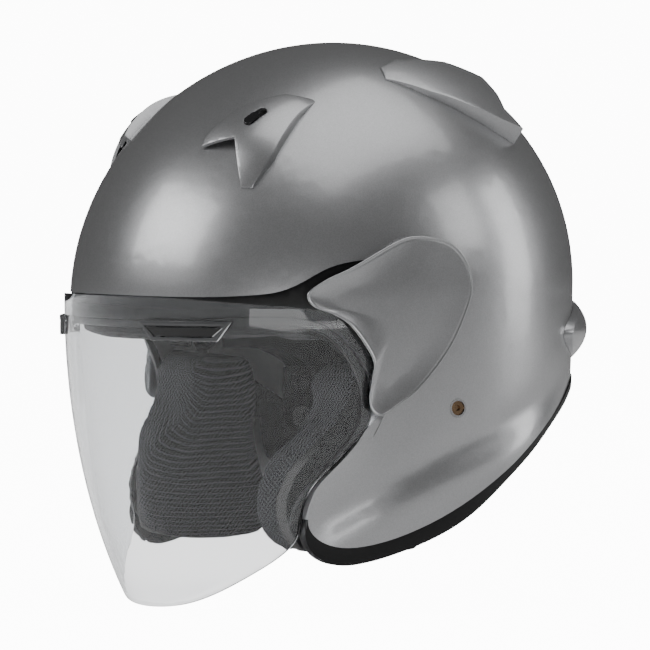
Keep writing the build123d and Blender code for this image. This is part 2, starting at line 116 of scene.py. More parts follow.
def curve_point(points, t, closed):
    """Point of a smooth curve through the points, with t from 0 to 1."""
    count = len(points)
    spans = count if closed else count - 1
    place = min(max(t, 0.0), 1.0) * spans
    i = min(int(place), spans - 1)
    f = place - i

    def at(k):
        if closed:
            return Vector(points[k % count])
        return Vector(points[min(max(k, 0), count - 1)])
    a, b, c, d = at(i - 1), at(i), at(i + 1), at(i + 2)
    return 0.5 * (2 * b + (c - a) * f + (2 * a - 5 * b + 4 * c - d) * f * f
                  + (3 * b - a - 3 * c + d) * f ** 3)


# ---- settings that a user would change ----------------------------------
class HelmetFinish(bpy.types.PropertyGroup):
    """Colours and surface finish."""
    paint: bpy.props.FloatVectorProperty(
        name="Lacquer", description="Colour of the metallic lacquer", subtype="COLOR",
        size=4, min=0.0, max=1.0, default=(0.47, 0.474, 0.484, 1.0))
    shield_tint: bpy.props.FloatVectorProperty(
        name="Shield tint", description="Colour of the light smoke shield", subtype="COLOR",
        size=4, min=0.0, max=1.0, default=(0.74, 0.75, 0.76, 1.0))
    cloth: bpy.props.FloatVectorProperty(
        name="Lining cloth", description="Colour of the black lining cloth", subtype="COLOR",
        size=4, min=0.0, max=1.0, default=(0.006, 0.006, 0.0066, 1.0))
    rubber: bpy.props.FloatVectorProperty(
        name="Edge rubber", description="Colour of the rubber edge trims", subtype="COLOR",
        size=4, min=0.0, max=1.0, default=(0.004, 0.004, 0.0044, 1.0))
    flake: bpy.props.FloatProperty(
        name="Flake", description="Strength of the metal flake in the lacquer",
        default=0.5, min=0.0, max=1.0, subtype="FACTOR")


class HelmetPads(bpy.types.PropertyGroup):
    """How the padding is made."""
    voxel: bpy.props.FloatProperty(
        name="Cloth grid", description="Size of the faces that the cloth is simulated on",
        default=0.0035, min=0.002, max=0.01, unit="LENGTH")
    pressure: bpy.props.FloatProperty(
        name="Fill pressure", description="Pressure of the foam under the cloth", default=4.0, min=0.0)
    swell: bpy.props.FloatProperty(
        name="Largest swell", description="How far the cloth may swell out",
        default=0.0035, min=0.0, max=0.02, unit="LENGTH")
    shrink: bpy.props.FloatProperty(
        name="Start inset", description="How much smaller a pad starts before it swells",
        default=0.0012, min=0.0, max=0.01, unit="LENGTH")


# ---- shader helpers -----------------------------------------------------
def node(tree, kind, values=(), **settings):
    """New shader node with its settings and plain socket values."""
    made = tree.nodes.new(kind)
    for key, value in settings.items():
        setattr(made, key, value)
    for key, value in dict(values).items():
        made.inputs[key].default_value = value
    return made


def link(tree, source, target):
    """Wires an output to an input."""
    tree.links.new(source, target)


def effect(name, inputs, outputs):
    """New node group with named number inputs and outputs, and its two end nodes."""
    tree = bpy.data.node_groups.new(name, "ShaderNodeTree")
    vector = tree.interface.new_socket("Vector", in_out="INPUT", socket_type="NodeSocketVector")
    vector.hide_value = True
    for key, value in inputs.items():
        made = tree.interface.new_socket(key, in_out="INPUT", socket_type="NodeSocketFloat")
        made.default_value = value
    for key in outputs:
        tree.interface.new_socket(key, in_out="OUTPUT", socket_type="NodeSocketFloat")
    return tree, tree.nodes.new("NodeGroupInput"), tree.nodes.new("NodeGroupOutput")


def math_node(tree, operation, a, b=None, c=None):
    """Math node fed by sockets or plain numbers; returns its output."""
    made = node(tree, "ShaderNodeMath", operation=operation)
    for index, value in enumerate((a, b, c)):
        if value is None:
            continue
        if hasattr(value, "links"):
            link(tree, value, made.inputs[index])
        else:
            made.inputs[index].default_value = value
    return made.outputs[0]


def build_flake():
    """Metal flake: fine sparkle cells and a slow drift of tone."""
    tree, given, put = effect("Metal flake", {"Cell size": 2600.0, "Drift": 14.0}, ("Sparkle", "Drift"))
    cells = node(tree, "ShaderNodeTexVoronoi", feature="F1", voronoi_dimensions="3D")
    link(tree, given.outputs["Vector"], cells.inputs["Vector"])
    link(tree, given.outputs["Cell size"], cells.inputs["Scale"])
    split = node(tree, "ShaderNodeSeparateColor")
    link(tree, cells.outputs["Color"], split.inputs[0])
    drift = node(tree, "ShaderNodeTexNoise", {"Detail": 3.0, "Roughness": 0.55})
    link(tree, given.outputs["Vector"], drift.inputs["Vector"])
    link(tree, given.outputs["Drift"], drift.inputs["Scale"])
    link(tree, split.outputs[0], put.inputs["Sparkle"])
    link(tree, drift.outputs["Fac"], put.inputs["Drift"])
    return tree


def build_grain():
    """Moulded grain: fine pebbles over soft waves."""
    tree, given, put = effect("Moulded grain", {"Pebbles": 1500.0, "Waves": 60.0}, ("Height", "Tone"))
    pebbles = node(tree, "ShaderNodeTexNoise", {"Detail": 4.0, "Roughness": 0.6})
    waves = node(tree, "ShaderNodeTexNoise", {"Detail": 3.0, "Roughness": 0.5})
    for key, made in (("Pebbles", pebbles), ("Waves", waves)):
        link(tree, given.outputs["Vector"], made.inputs["Vector"])
        link(tree, given.outputs[key], made.inputs["Scale"])
    both = math_node(tree, "MULTIPLY_ADD", waves.outputs["Fac"], 0.5, pebbles.outputs["Fac"])
    link(tree, both, put.inputs["Height"])
    link(tree, waves.outputs["Fac"], put.inputs["Tone"])
    return tree


def build_weave():
    """Cloth weave: two crossed sets of threads with uneven thread tone."""
    tree, given, put = effect("Cloth weave", {"Threads": 900.0, "Fuzz": 2600.0}, ("Height", "Tone"))
    axes = node(tree, "ShaderNodeSeparateXYZ")
    link(tree, given.outputs["Vector"], axes.inputs[0])
    run = math_node(tree, "ADD", axes.outputs[1], math_node(tree, "MULTIPLY", axes.outputs[0], 0.7))
    rise = math_node(tree, "SUBTRACT", axes.outputs[2], math_node(tree, "MULTIPLY", axes.outputs[0], 0.4))
    warp = math_node(tree, "SINE", math_node(tree, "MULTIPLY", run, given.outputs["Threads"]))
    weft = math_node(tree, "SINE", math_node(tree, "MULTIPLY", rise, given.outputs["Threads"]))
    fuzz = node(tree, "ShaderNodeTexNoise", {"Detail": 3.0})
    link(tree, given.outputs["Vector"], fuzz.inputs["Vector"])
    link(tree, given.outputs["Fuzz"], fuzz.inputs["Scale"])
    crossed = math_node(tree, "MULTIPLY", warp, weft)
    height = math_node(tree, "MULTIPLY_ADD", crossed, 0.35, fuzz.outputs["Fac"])
    link(tree, height, put.inputs["Height"])
    link(tree, math_node(tree, "MULTIPLY_ADD", crossed, 0.5, 0.5), put.inputs["Tone"])
    return tree


def build_handling():
    """Handling marks: faint dust and hairline scratches."""
    tree, given, put = effect("Handling marks", {"Dust": 180.0, "Hairlines": 22.0}, ("Dust", "Hairlines"))
    dust = node(tree, "ShaderNodeTexNoise", {"Detail": 8.0, "Roughness": 0.75})
    link(tree, given.outputs["Vector"], dust.inputs["Vector"])
    link(tree, given.outputs["Dust"], dust.inputs["Scale"])
    dusty = node(tree, "ShaderNodeMapRange", {"From Min": 0.5, "From Max": 0.75})
    link(tree, dust.outputs["Fac"], dusty.inputs["Value"])
    lines = node(tree, "ShaderNodeTexWave", {"Distortion": 18.0, "Detail": 4.0, "Detail Scale": 2.0},
                 wave_type="BANDS", bands_direction="DIAGONAL")
    link(tree, given.outputs["Vector"], lines.inputs["Vector"])
    link(tree, given.outputs["Hairlines"], lines.inputs["Scale"])
    thin = node(tree, "ShaderNodeMapRange", {"From Min": 0.992, "From Max": 1.0})
    link(tree, lines.outputs["Fac"], thin.inputs["Value"])
    link(tree, dusty.outputs[0], put.inputs["Dust"])
    link(tree, thin.outputs[0], put.inputs["Hairlines"])
    return tree


EFFECTS = {}


def place_effect(tree, name, coordinates, **values):
    """Puts a shared effect into a material with its own values."""
    if not EFFECTS:
        for build in (build_flake, build_grain, build_weave, build_handling):
            made = build()
            EFFECTS[made.name] = made
    group = node(tree, "ShaderNodeGroup", node_tree=EFFECTS[name])
    link(tree, coordinates, group.inputs["Vector"])
    for key, value in values.items():
        group.inputs[key.replace("_", " ")].default_value = value
    return group


class Finish:
    """A material with its Principled shader, its object coordinates and short ways to wire them."""

    def __init__(self, name, colour, **sockets):
        self.material = bpy.data.materials.new(name)
        self.material.use_nodes = True
        self.tree = self.material.node_tree
        self.shader = self.tree.nodes["Principled BSDF"]
        self.shader.inputs["Base Color"].default_value = colour
        for key, value in sockets.items():
            self.shader.inputs[key.replace("_", " ")].default_value = value
        self.place = node(self.tree, "ShaderNodeTexCoord").outputs["Object"]

    def mix_colour(self, mask, low, high):
        """Base colour from low to high over a mask; returns the mix node."""
        mix = node(self.tree, "ShaderNodeMix", data_type="RGBA")
        mix.inputs[6].default_value = low
        mix.inputs[7].default_value = high
        link(self.tree, mask, mix.inputs[0])
        link(self.tree, mix.outputs[2], self.shader.inputs["Base Color"])
        return mix

    def roughness(self, mask, low, high):
        """Roughness from low to high over a mask."""
        spread = node(self.tree, "ShaderNodeMapRange", {"To Min": low, "To Max": high})
        link(self.tree, mask, spread.inputs["Value"])
        link(self.tree, spread.outputs[0], self.shader.inputs["Roughness"])

    def bump(self, height, distance, strength=1.0):
        """Small relief from a height."""
        made = node(self.tree, "ShaderNodeBump", {"Distance": distance, "Strength": strength})
        link(self.tree, height, made.inputs["Height"])
        link(self.tree, made.outputs[0], self.shader.inputs["Normal"])


def scaled(colour, factor):
    """Colour made lighter or darker."""
    return tuple(min(c * factor, 1.0) for c in colour[:3]) + (1.0,)


def lacquer(colour, flake):
    """Silver-grey metallic lacquer under a clear coat."""
    made = Finish("silver_lacquer", colour, Metallic=0.80, Roughness=0.34, Coat_Weight=1.0,
                  Coat_Roughness=0.12, Coat_IOR=1.5)
    sparkle = place_effect(made.tree, "Metal flake", made.place)
    mask = math_node(made.tree, "MULTIPLY_ADD", sparkle.outputs["Sparkle"], flake,
                     math_node(made.tree, "MULTIPLY", sparkle.outputs["Drift"], 1.0 - flake))
    made.mix_colour(mask, scaled(colour, 0.84), scaled(colour, 1.18))
    marks = place_effect(made.tree, "Handling marks", made.place, Dust=240.0, Hairlines=17.0)
    made.roughness(marks.outputs["Dust"], 0.31, 0.37)
    made.bump(sparkle.outputs["Sparkle"], 0.00002, 0.35)
    return made.material


def plain_plastic(name, colour, roughness, coat, pebble_depth=0.00003):
    """Moulded plastic with a fine grain, slight tone changes and handling marks."""
    made = Finish(name, colour, Roughness=roughness, Coat_Weight=coat, Coat_Roughness=0.08)
    grain = place_effect(made.tree, "Moulded grain", made.place)
    made.mix_colour(grain.outputs["Tone"], scaled(colour, 0.82), scaled(colour, 1.25))
    marks = place_effect(made.tree, "Handling marks", made.place)
    made.roughness(marks.outputs["Dust"], roughness * 0.9, min(roughness * 1.25, 1.0))
    made.bump(grain.outputs["Height"], pebble_depth, 0.6)
    return made.material


def edge_rubber(colour):
    """Black rubber, a little dusty."""
    made = Finish("edge_rubber", colour, Roughness=0.42, Specular_IOR_Level=0.35)
    grain = place_effect(made.tree, "Moulded grain", made.place, Pebbles=900.0, Waves=35.0)
    marks = place_effect(made.tree, "Handling marks", made.place, Dust=320.0)
    made.mix_colour(marks.outputs["Dust"], colour, scaled(colour, 2.2))
    made.roughness(grain.outputs["Tone"], 0.30, 0.42)
    made.bump(grain.outputs["Height"], 0.00005, 0.5)
    return made.material


def lining_cloth(name, colour, threads, depth, sheen=0.08):
    """Woven cloth over foam."""
    made = Finish(name, colour, Roughness=0.9, Specular_IOR_Level=0.25, Sheen_Weight=sheen,
                  Sheen_Roughness=0.45)
    weave = place_effect(made.tree, "Cloth weave", made.place, Threads=threads)
    made.mix_colour(weave.outputs["Tone"], scaled(colour, 0.7), scaled(colour, 1.6))
    made.roughness(weave.outputs["Tone"], 0.82, 0.95)
    made.bump(weave.outputs["Height"], depth, 0.8)
    return made.material


# Radians of pattern per metre of cloth.
RIB_RATE = 2800.0
NET_RATE = 2200.0
HERRINGBONE_RATE = 4200.0
# Width of one slanting row of the herringbone.
HERRINGBONE_FOLD = 0.0025
# Distances past the cheek pad's seam over which the net, and the pale band after it, come to an end.
NET_ENDS = (-0.0006, 0.0002)
BAND_ENDS = (0.0048, 0.0054)
PALE_VINYL = (0.085, 0.083, 0.082, 1.0)


def ribbed_cloth(colour):
    """Brow cloth with fine level ribs."""
    made = Finish("ribbed_cloth", colour, Roughness=0.85, Sheen_Weight=0.08, Sheen_Roughness=0.4)
    axes = node(made.tree, "ShaderNodeSeparateXYZ")
    link(made.tree, made.place, axes.inputs[0])
    wave = math_node(made.tree, "SINE", math_node(made.tree, "MULTIPLY", axes.outputs[2], RIB_RATE))
    ribs = math_node(made.tree, "MULTIPLY_ADD", wave, 0.5, 0.5)
    weave = place_effect(made.tree, "Cloth weave", made.place, Threads=1500.0)
    made.mix_colour(ribs, scaled(colour, 0.6), scaled(colour, 2.0))
    height = math_node(made.tree, "MULTIPLY_ADD", weave.outputs["Height"], 0.3, ribs)
    made.bump(height, 0.0004, 0.9)
    made.roughness(weave.outputs["Tone"], 0.78, 0.95)
    return made.material


def net_cloth(colour):
    """Cheek pad cover: open net on the face, a pale vinyl band past the seam, then smooth black."""
    made = Finish("net_cloth", colour, Roughness=0.8, Specular_IOR_Level=0.25)
    tree = made.tree
    axes = node(tree, "ShaderNodeSeparateXYZ")
    link(tree, made.place, axes.inputs[0])
    climb = math_node(tree, "MULTIPLY_ADD", axes.outputs[1], -0.55, axes.outputs[2])
    slope = math_node(tree, "MULTIPLY", axes.outputs[1], 0.55)
    cross = math_node(tree, "MULTIPLY_ADD", axes.outputs[0], 0.9, slope)
    families = []
    for operation in ("ADD", "SUBTRACT"):
        slant = math_node(tree, operation, climb, cross)
        families.append(math_node(tree, "SINE", math_node(tree, "MULTIPLY", slant, NET_RATE)))
    threads = node(tree, "ShaderNodeMapRange", {"From Min": 0.45, "From Max": 0.9})
    link(tree, math_node(tree, "MAXIMUM", *families), threads.inputs["Value"])
    past = node(tree, "ShaderNodeAttribute", attribute_name="past_seam").outputs["Fac"]
    low = node(tree, "ShaderNodeAttribute", attribute_name="pale_band").outputs["Fac"]
    inside = []
    for near, far in (NET_ENDS, BAND_ENDS):
        made_range = node(tree, "ShaderNodeMapRange", {
            "From Min": near, "From Max": far, "To Min": 1.0, "To Max": 0.0})
        link(tree, past, made_range.inputs["Value"])
        inside.append(made_range.outputs[0])
    on_face, on_face_or_band = inside
    band = math_node(tree, "MULTIPLY", math_node(tree, "SUBTRACT", on_face_or_band, on_face), low)
    weave = place_effect(tree, "Cloth weave", made.place, Threads=2100.0)
    net_mask = math_node(tree, "MULTIPLY", threads.outputs[0], on_face)
    cloth = made.mix_colour(net_mask, scaled(colour, 0.3), scaled(colour, 14.0))
    with_band = node(tree, "ShaderNodeMix", data_type="RGBA")
    with_band.inputs[7].default_value = PALE_VINYL
    link(tree, band, with_band.inputs[0])
    link(tree, cloth.outputs[2], with_band.inputs[6])
    link(tree, with_band.outputs[2], made.shader.inputs["Base Color"])
    made.roughness(on_face, 0.48, 0.85)
    height = math_node(tree, "MULTIPLY_ADD", weave.outputs["Height"], 0.12, net_mask)
    made.bump(height, 0.0005, 0.8)
    return made.material


def strap_webbing(colour):
    """Woven strap with a herringbone of slanting threads."""
    made = Finish("strap_webbing", colour, Roughness=0.75, Sheen_Weight=0.06, Sheen_Roughness=0.4)
    axes = node(made.tree, "ShaderNodeSeparateXYZ")
    link(made.tree, made.place, axes.inputs[0])
    fold = math_node(made.tree, "PINGPONG", axes.outputs[1], HERRINGBONE_FOLD)
    slant = math_node(made.tree, "ADD", axes.outputs[2], fold)
    wave = math_node(made.tree, "SINE", math_node(made.tree, "MULTIPLY", slant, HERRINGBONE_RATE))
    threads = math_node(made.tree, "MULTIPLY_ADD", wave, 0.5, 0.5)
    made.mix_colour(threads, scaled(colour, 0.5), scaled(colour, 1.8))
    made.roughness(threads, 0.65, 0.85)
    made.bump(threads, 0.0002, 0.9)
    return made.material


def foam_beads(colour):
    """Expanded foam: pressed round beads."""
    made = Finish("foam_beads", colour, Roughness=0.7, Specular_IOR_Level=0.3)
    cells = node(made.tree, "ShaderNodeTexVoronoi", {"Scale": 330.0}, feature="F1")
    link(made.tree, made.place, cells.inputs["Vector"])
    made.mix_colour(cells.outputs["Distance"], scaled(colour, 1.5), scaled(colour, 0.6))
    made.roughness(cells.outputs["Distance"], 0.55, 0.85)
    made.bump(math_node(made.tree, "SUBTRACT", 1.0, cells.outputs["Distance"]), 0.0003, 0.7)
    return made.material


def brushed(name, colour, roughness):
    """Bare metal with turned or brushed lines."""
    made = Finish(name, colour, Metallic=1.0, Roughness=roughness)
    marks = place_effect(made.tree, "Handling marks", made.place, Dust=700.0, Hairlines=90.0)
    grain = place_effect(made.tree, "Moulded grain", made.place, Pebbles=3200.0, Waves=240.0)
    made.mix_colour(grain.outputs["Tone"], scaled(colour, 0.75), scaled(colour, 1.15))
    made.roughness(marks.outputs["Dust"], roughness * 0.85, min(roughness * 1.5, 1.0))
    made.bump(grain.outputs["Height"], 0.00002, 0.6)
    return made.material


def shield_polycarbonate(tint):
    """Clear light smoke polycarbonate with a hard gloss."""
    made = Finish("shield_polycarbonate", tint, Roughness=0.01, IOR=1.33, Transmission_Weight=1.0)
    marks = place_effect(made.tree, "Handling marks", made.place, Dust=420.0, Hairlines=9.0)
    made.mix_colour(marks.outputs["Dust"], tint, scaled(tint, 0.97))
    made.roughness(marks.outputs["Dust"], 0.008, 0.02)
    return made.material


def make_finishes(finish):
    """Every material of the helmet, by the name of the record's material slot."""
    paint, cloth = tuple(finish.paint), tuple(finish.cloth)
    return {
        "silver_paint": lacquer(paint, finish.flake),
        "foam": foam_beads((0.006, 0.006, 0.0065, 1.0)),
        "lining_fabric": lining_cloth("lining_cloth", cloth, 1300.0, 0.0003),
        "ribbed_fabric": ribbed_cloth(cloth),
        "mesh_fabric": net_cloth(cloth),
        "plate_plastic": plain_plastic("plate_plastic", (0.008, 0.008, 0.009, 1.0), 0.5, 0.0, 0.00006),
        "trim_rubber": edge_rubber(tuple(finish.rubber)),
        "steel": brushed("bright_steel", (0.62, 0.62, 0.63, 1.0), 0.24),
        # black_steel: the snap stud and the strap anchor are made near-black as painted shade, for the
        # shade they sit in inside the helmet, where bare steel would shine.
        "black_steel": plain_plastic("black_steel", (0.008, 0.008, 0.009, 1.0), 0.3, 0.3, 0.00001),
        "bronze": brushed("bronzed_screw", (0.30, 0.20, 0.12, 1.0), 0.32),
        "washer_plastic": plain_plastic("washer_plastic", (0.72, 0.71, 0.68, 1.0), 0.45, 0.0),
        "ring_plastic": plain_plastic("ring_plastic", (0.02, 0.02, 0.021, 1.0), 0.25, 0.4),
        "smoke_shield": shield_polycarbonate(tuple(finish.shield_tint)),
        "vent_plastic": plain_plastic("vent_plastic", (0.09, 0.092, 0.096, 1.0), 0.16, 0.8, 0.00001),
        "dark_gloss": plain_plastic("dark_gloss", (0.010, 0.010, 0.011, 1.0), 0.18, 0.6, 0.00001),
        "webbing": strap_webbing(cloth),
    }


FINISHES = {}


def finish_for(slot):
    """The material of a record slot, made once."""
    if not FINISHES:
        FINISHES.update(make_finishes(bpy.context.scene.helmet_finish))
    return FINISHES[slot]


# ---- mesh helpers -------------------------------------------------------
def finished(name, bm, slot, body, *replaced):
    """Object from a bmesh, smooth, in place, riding its body and standing for CAD nodes."""
    mesh = bpy.data.meshes.new(name)
    for face in bm.faces:
        face.smooth = True
    bm.to_mesh(mesh)
    bm.free()
    piece = bpy.data.objects.new(name, mesh)
    bpy.context.scene.collection.objects.link(piece)
    piece.data.materials.append(finish_for(slot))
    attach(piece, body)
    if replaced:
        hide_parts(*replaced)
    return piece


def cad_copy(node_name):
    """Merged copy of a CAD node's mesh, in a bmesh."""
    bm = bmesh.new()
    bm.from_mesh(frame["nodes"][node_name].data)
    bmesh.ops.remove_doubles(bm, verts=bm.verts, dist=1e-6)
    return bm


def remade(piece, change):
    """Runs change() on a bmesh of a piece's mesh and writes it back."""
    bm = bmesh.new()
    bm.from_mesh(piece.data)
    change(bm)
    bm.to_mesh(piece.data)
    bm.free()


def mark_sharp(bm):
    """Edges that turn by 30 degrees or more stay crisp."""
    limit = math.radians(30.0)
    for edge in bm.edges:
        edge.smooth = len(edge.link_faces) == 2 and edge.calc_face_angle(0.0) < limit


def eased(name, node_name, slot, body, width, segments=3, degrees=38.0, shape=None):
    """A hard piece with its CAD shape, its edges rounded over, and shape() for finer forms."""
    bm = cad_copy(node_name)
    if shape:
        shape(bm)
    piece = finished(name, bm, slot, body, node_name)
    with_modifier(piece, "BEVEL", width=width, segments=segments, limit_method="ANGLE",
                  angle_limit=math.radians(degrees), use_clamp_overlap=True, harden_normals=False)
    apply_modifiers(piece)
    remade(piece, mark_sharp)


def divided(bm, longest):
    """Splits edges until none is longer than the limit."""
    for _ in range(8):
        long_edges = [edge for edge in bm.edges if edge.calc_length() > longest]
        if not long_edges:
            return
        bmesh.ops.subdivide_edges(bm, edges=long_edges, cuts=1)
        bmesh.ops.triangulate(bm, faces=[face for face in bm.faces if len(face.verts) > 3])


def polar_patch(rows, around, place):
    """Closed form from rings: row k of rows is one ring, and place(t, row) gives its points."""
    bm = bmesh.new()
    bmesh.ops.create_grid(bm, x_segments=around, y_segments=len(rows) - 1, size=0.5)
    for vert in bm.verts:
        row = rows[round((vert.co.y + 0.5) * (len(rows) - 1))]
        vert.co = place(vert.co.x + 0.5, row)
    bmesh.ops.remove_doubles(bm, verts=bm.verts, dist=2e-6)
    bmesh.ops.recalc_face_normals(bm, faces=bm.faces)
    return bm


def mirrored(bm):
    """Turns a left piece into the right one."""
    bmesh.ops.scale(bm, verts=bm.verts, vec=(-1.0, 1.0, 1.0))
    bmesh.ops.reverse_faces(bm, faces=bm.faces)
    return bm


def with_modifier(piece, kind, **settings):
    """Adds a modifier and sets it."""
    made = piece.modifiers.new(kind.title(), kind)
    for key, value in settings.items():
        setattr(made, key, value)


def apply_modifiers(piece):
    """Bakes a piece's modifiers into its mesh."""
    shown = bpy.context.evaluated_depsgraph_get()
    mesh = bpy.data.meshes.new_from_object(piece.evaluated_get(shown))
    old = piece.data
    piece.modifiers.clear()
    piece.data = mesh
    bpy.data.meshes.remove(old)


def soft_pad(name, node_name, slot, body, settings, channels=None):
    """Padded piece: the CAD solid remeshed, swelled as cloth under pressure, then sewn."""
    bm = cad_copy(node_name)
    bmesh.ops.recalc_face_normals(bm, faces=bm.faces)
    piece = finished(name, bm, slot, body, node_name)
    with_modifier(piece, "REMESH", mode="VOXEL", voxel_size=settings.voxel)
    apply_modifiers(piece)

    def shrink(bm):
        bmesh.ops.smooth_vert(bm, verts=bm.verts, factor=0.5, use_axis_x=True, use_axis_y=True,
                              use_axis_z=True)
        push_in(bm, lambda point: settings.shrink)
    remade(piece, shrink)
    swell(piece, settings)
    with_modifier(piece, "SUBSURF", levels=1, render_levels=1)
    apply_modifiers(piece)
    if channels:
        remade(piece, lambda bm: push_in(bm, channels))
    for polygon in piece.data.polygons:
        polygon.use_smooth = True
    return piece


CLOTH_FRAMES = 15


def swell(piece, settings):
    """Cloth pressure on a closed pad, with each point's move capped."""
    rest = [vert.co.copy() for vert in piece.data.vertices]
    cloth = piece.modifiers.new("Cloth", "CLOTH")
    cloth.settings.use_pressure = True
    cloth.settings.uniform_pressure_force = settings.pressure
    cloth.settings.effector_weights.gravity = 0.0
    cloth.settings.quality = 5
    for moment in range(1, CLOTH_FRAMES + 1):
        bpy.context.scene.frame_set(moment)
    shown = bpy.context.evaluated_depsgraph_get()
    mesh = bpy.data.meshes.new_from_object(piece.evaluated_get(shown))
    piece.modifiers.clear()
    for vert, moved, start in zip(piece.data.vertices, mesh.vertices, rest):
        move = moved.co - start
        reach = move.length
        vert.co = start + move * (min(reach, settings.swell) / reach if reach > 0.0 else 0.0)
    bpy.data.meshes.remove(mesh)
    bpy.context.scene.frame_set(1)


def push_in(bm, depth_at):
    """Each point goes inwards by depth_at(point)."""
    bm.normal_update()
    for vert in bm.verts:
        vert.co -= vert.normal * depth_at(vert.co)


def channel(distance, width, depth):
    """Depth of a sewn line at a distance from it."""
    return depth * math.exp(-(distance / width) ** 2)


# ---- operators ----------------------------------------------------------
class HELMET_OT_hard_parts(bpy.types.Operator):
    """Give every hard part of the frame its own finish"""
    bl_idname = "helmet.hard_parts"
    bl_label = "Finish hard parts"

    def execute(self, context):
        for row in frame["record"]["subparts"]:
            hard = frame["nodes"][row["node"]]
            hard.data.materials.clear()
            hard.data.materials.append(finish_for(row["material_slot"]))
        return {"FINISHED"}


def side_distance(y, z, line):
    """Shortest side-view distance from a place to a run of points, signed: positive below it."""
    best, sign = 1.0, 1.0
    for (y0, z0), (y1, z1) in zip(line, line[1:]):
        run_y, run_z = y1 - y0, z1 - z0
        t = min(max(((y - y0) * run_y + (z - z0) * run_z) / (run_y ** 2 + run_z ** 2), 0.0), 1.0)
        gap = math.hypot(y - y0 - t * run_y, z - z0 - t * run_z)
        if gap < best:
            best = gap
            sign = 1.0 if (z0 + t * run_z) > z else -1.0
    return best * sign


class HELMET_OT_shell(bpy.types.Operator):
    """Shape the hard shell: flared skirt under a soft crease, rounded rim and step"""
    bl_idname = "helmet.shell"
    bl_label = "Shell"

    STEP_DEPTH = 0.0015
    # A point this close to a surface counts as lying on it.
    ON_SURFACE = 0.0004
    # The step under each pod's lower tip is filled again, over this span of heights.
    STEP_FILL = 0.0012
    FILL_SPAN = (-0.048, -0.042)
    GASKET_FOOT = -0.043
    # Swollen skirt: its highest level, the dip along the crease, the swell below it with its two
    # slopes, and where both fade out at the front and the rear.
    FLARE_TOP = 0.03
    DIP_DEPTH = 0.0007
    DIP_WIDTH = 0.008
    SWELL_HEIGHT = 0.0024
    SWELL_START = (-0.004, 0.016)
    SWELL_END = (0.018, 0.036)
    FADE_FRONT = (-0.068, -0.052)
    FADE_REAR = (0.05, 0.115)
    CREASE = ((-0.062, -0.104), (-0.044, -0.0935), (-0.020, -0.080), (0.0025, -0.0697),
              (0.026, -0.061), (0.048, -0.054), (0.085, -0.038), (0.120, -0.020))

    def execute(self, context):
        eased("shell_body", "outer_shell", "silver_paint", "helmet", 0.0006, 2, 45.0, self.flare)
        self.lay_gasket()
        return {"FINISHED"}

    def lay_gasket(self):
        """Black rubber gasket that lines the step round the face opening."""
        bm = cad_copy("outer_shell")
        divided(bm, 0.006)

        def off_step(face):
            return max(abs(egg_gap(SHELL, vert.co) + self.STEP_DEPTH) for vert in face.verts)
        others = [face for face in bm.faces
                  if face.calc_center_median().z < self.GASKET_FOOT or off_step(face) > 0.0003]
        bmesh.ops.delete(bm, geom=others, context="FACES")
        gasket = finished("step_gasket", bm, "trim_rubber", "helmet")
        with_modifier(gasket, "SOLIDIFY", thickness=0.0009, offset=1.0)
        with_modifier(gasket, "BEVEL", width=0.0003, segments=2, limit_method="ANGLE",
                      angle_limit=math.radians(50.0))
        apply_modifiers(gasket)

    def flare(self, bm):
        """The shell swells out below the crease and dips a little along it."""
        divided(bm, 0.005)
        for vert in bm.verts:
            point = vert.co
            if point.z > self.FLARE_TOP:
                continue
            if abs(egg_gap(SHELL, point) + self.STEP_DEPTH) < self.ON_SURFACE:
                filled = self.STEP_FILL * (1.0 - smooth_step(*self.FILL_SPAN, point.z))
                point += egg_normal(SHELL, point) * filled
                continue
            if abs(abs(point.x) - egg_side(SHELL, point.y, point.z)) > self.ON_SURFACE:
                continue
            below = side_distance(point.y, point.z, self.CREASE)
            fade = smooth_step(*self.FADE_FRONT, point.y) * (1.0 - smooth_step(*self.FADE_REAR, point.y))
            dip = -self.DIP_DEPTH * math.exp(-(below / self.DIP_WIDTH) ** 2)
            bulge = self.SWELL_HEIGHT * smooth_step(*self.SWELL_START, below)
            bulge *= 1.0 - smooth_step(*self.SWELL_END, below)
            point += egg_normal(SHELL, point) * ((dip + bulge) * fade)


